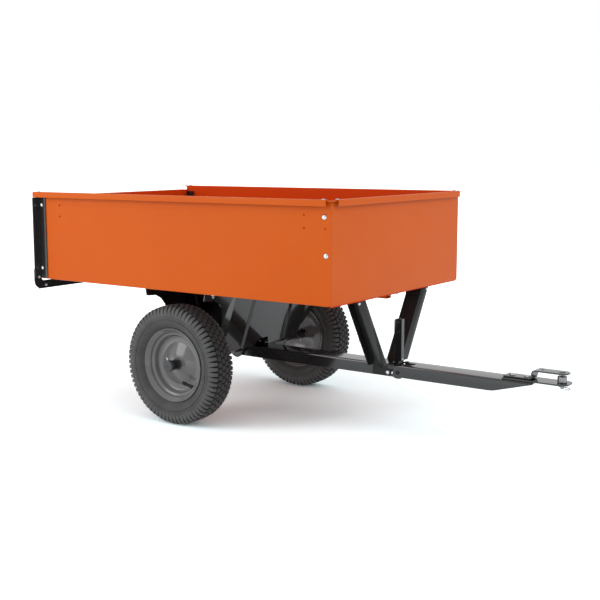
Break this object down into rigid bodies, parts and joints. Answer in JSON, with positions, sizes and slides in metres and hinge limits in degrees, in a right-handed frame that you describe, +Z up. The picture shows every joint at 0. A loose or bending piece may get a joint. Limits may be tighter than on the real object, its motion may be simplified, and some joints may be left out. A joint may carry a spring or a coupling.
{
  "type": "garden tractor trailer",
  "caption": "Tipping sheet-steel trailer with a sliding tailgate, two pneumatic wheels and a latched tongue that ends in a clevis hitch.",
  "frame": {"origin": "on the ground under the middle of the overall box", "axes": "+X towards the hitch, +Y towards the trailer's left side, +Z up"},
  "size_m": [1.778, 0.836, 0.735],
  "materials": {
    "orange_paint": "semi-gloss powder coat",
    "black_paint": "gloss paint",
    "grey_paint": "satin paint",
    "zinc_plate": "zinc plated",
    "tyre_rubber": "matt",
    "valve_rubber": "matt",
    "black_plastic": "satin"
  },
  "bodies": {
    "bed": {"floor_panel": "orange_paint", "side_panel_left": "orange_paint", "side_panel_right": "orange_paint", "front_panel": "orange_paint", "corner_gusset_left": "orange_paint", "corner_gusset_right": "orange_paint", "floor_rib": "orange_paint", "rear_sill": "black_paint", "rear_upright_left": "black_paint", "rear_upright_right": "black_paint", "rear_corner_left": "black_paint", "rear_corner_right": "black_paint", "gate_guide_left": "black_paint", "gate_guide_right": "black_paint", "axle_support_front": "black_paint", "axle_support_rear": "black_paint", "inner_cheek_left": "black_paint", "inner_cheek_right": "black_paint", "outer_cheek_left": "black_paint", "outer_cheek_right": "black_paint", "axle": "zinc_plate", "axle_spacer_left": "black_paint", "axle_spacer_right": "black_paint", "axle_cap_left": "black_plastic", "axle_cap_right": "black_plastic", "strut_left": "black_paint", "strut_right": "black_paint", "strut_mount_left": "black_paint", "strut_mount_right": "black_paint", "latch_bar": "zinc_plate"},
    "wheel_left": {"tyre_left": "tyre_rubber", "rim_left": "grey_paint", "hub_left": "black_paint", "inner_bush_left": "black_plastic", "outer_bush_left": "black_plastic", "valve_stem_left": "valve_rubber"},
    "wheel_right": {"tyre_right": "tyre_rubber", "rim_right": "grey_paint", "hub_right": "black_paint", "inner_bush_right": "black_plastic", "outer_bush_right": "black_plastic", "valve_stem_right": "valve_rubber"},
    "tongue": {"tongue": "black_paint", "tongue_bush_left": "zinc_plate", "tongue_bush_right": "zinc_plate", "hitch_plate": "black_paint", "hitch_strap": "black_paint", "hitch_bolt_rear": "zinc_plate", "hitch_bolt_front": "zinc_plate", "hitch_spacer": "zinc_plate", "latch_pivot_bolt": "black_paint", "latch_spring": "zinc_plate"},
    "latch_lever": {"latch_lever": "black_paint"},
    "tailgate": {"tailgate": "orange_paint"},
    "hitch_pin": {"hitch_pin": "zinc_plate"},
    "hitch_clip": {"hitch_clip": "zinc_plate"}
  },
  "joints": [
    {"name": "bed_tip", "type": "hinge", "parent": "bed", "child": "tongue", "pos_m": [-0.275, 0, 0.1926], "axis": [0, 1, 0], "range_deg": [0, 38]},
    {"name": "wheel_left_spin", "type": "hinge", "parent": "bed", "child": "wheel_left", "pos_m": [-0.275, 0.343, 0.1926], "axis": [0, 1, 0], "continuous": true},
    {"name": "wheel_right_spin", "type": "hinge", "parent": "bed", "child": "wheel_right", "pos_m": [-0.275, -0.343, 0.1926], "axis": [0, 1, 0], "continuous": true},
    {"name": "tailgate_lift", "type": "slide", "parent": "bed", "child": "tailgate", "axis": [0, 0, 1], "range_m": [0, 0.285]},
    {"name": "latch_release", "type": "hinge", "parent": "tongue", "child": "latch_lever", "pos_m": [0.3555, 0, 0.1875], "axis": [0, 1, 0], "range_deg": [0, 30], "stiffness_Nm_per_rad": 2, "springref_deg": -17.19},
    {"name": "hitch_pin_lift", "type": "slide", "parent": "tongue", "child": "hitch_pin", "axis": [0, 0, 1], "range_m": [0, 0.007]},
    {"name": "clip_pull", "type": "slide", "parent": "hitch_pin", "child": "hitch_clip", "axis": [1, 0, 0], "range_m": [0, 0.03]}
  ]
}
